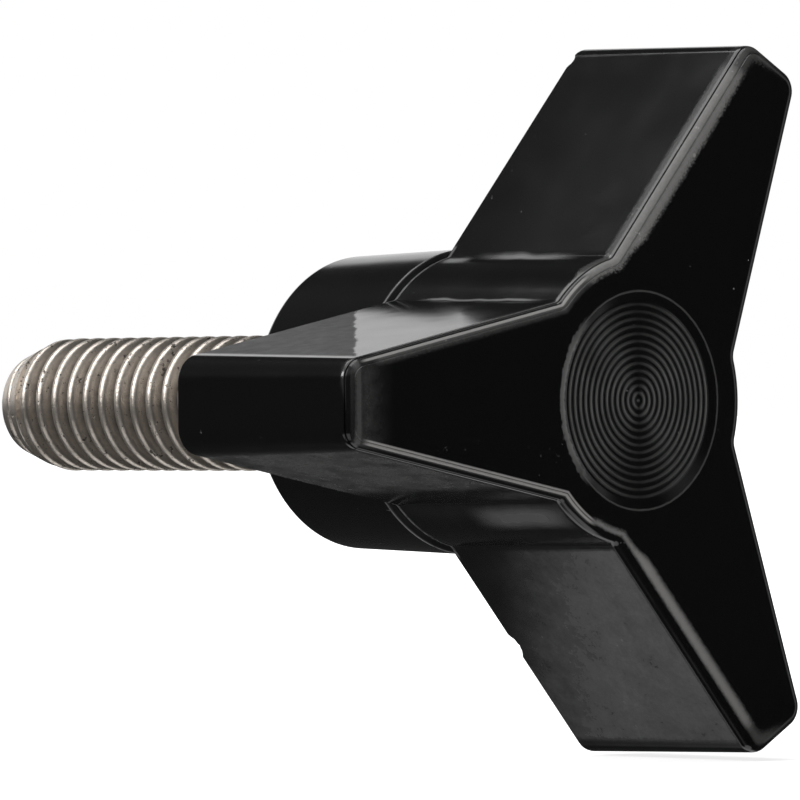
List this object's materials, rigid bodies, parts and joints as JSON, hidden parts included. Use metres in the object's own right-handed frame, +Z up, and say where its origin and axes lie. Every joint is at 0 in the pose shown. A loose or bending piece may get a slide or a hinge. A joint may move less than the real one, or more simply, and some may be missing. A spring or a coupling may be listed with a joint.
{
  "type": "star knob",
  "caption": "Black moulded star knob with tapered arms, a round boss and a threaded steel stud, for tightening a clamp, guard or fixture by hand.",
  "frame": {"origin": "middle of the boss's rear face, where the stud comes out", "axes": "+Y along the stud, away from the knob, so the face looks towards -Y; +Z up, with one arm along -X"},
  "size_m": [0.0353, 0.0513, 0.0404],
  "materials": {
    "black_phenolic": "glossy black moulded thermoset, rubbed matt grey along the front edges",
    "stud_steel": "dull grey rolled thread with small dark pits"
  },
  "bodies": {
    "root": {"knob_body": "black_phenolic", "threaded_stud": "stud_steel"}
  },
  "joints": []
}
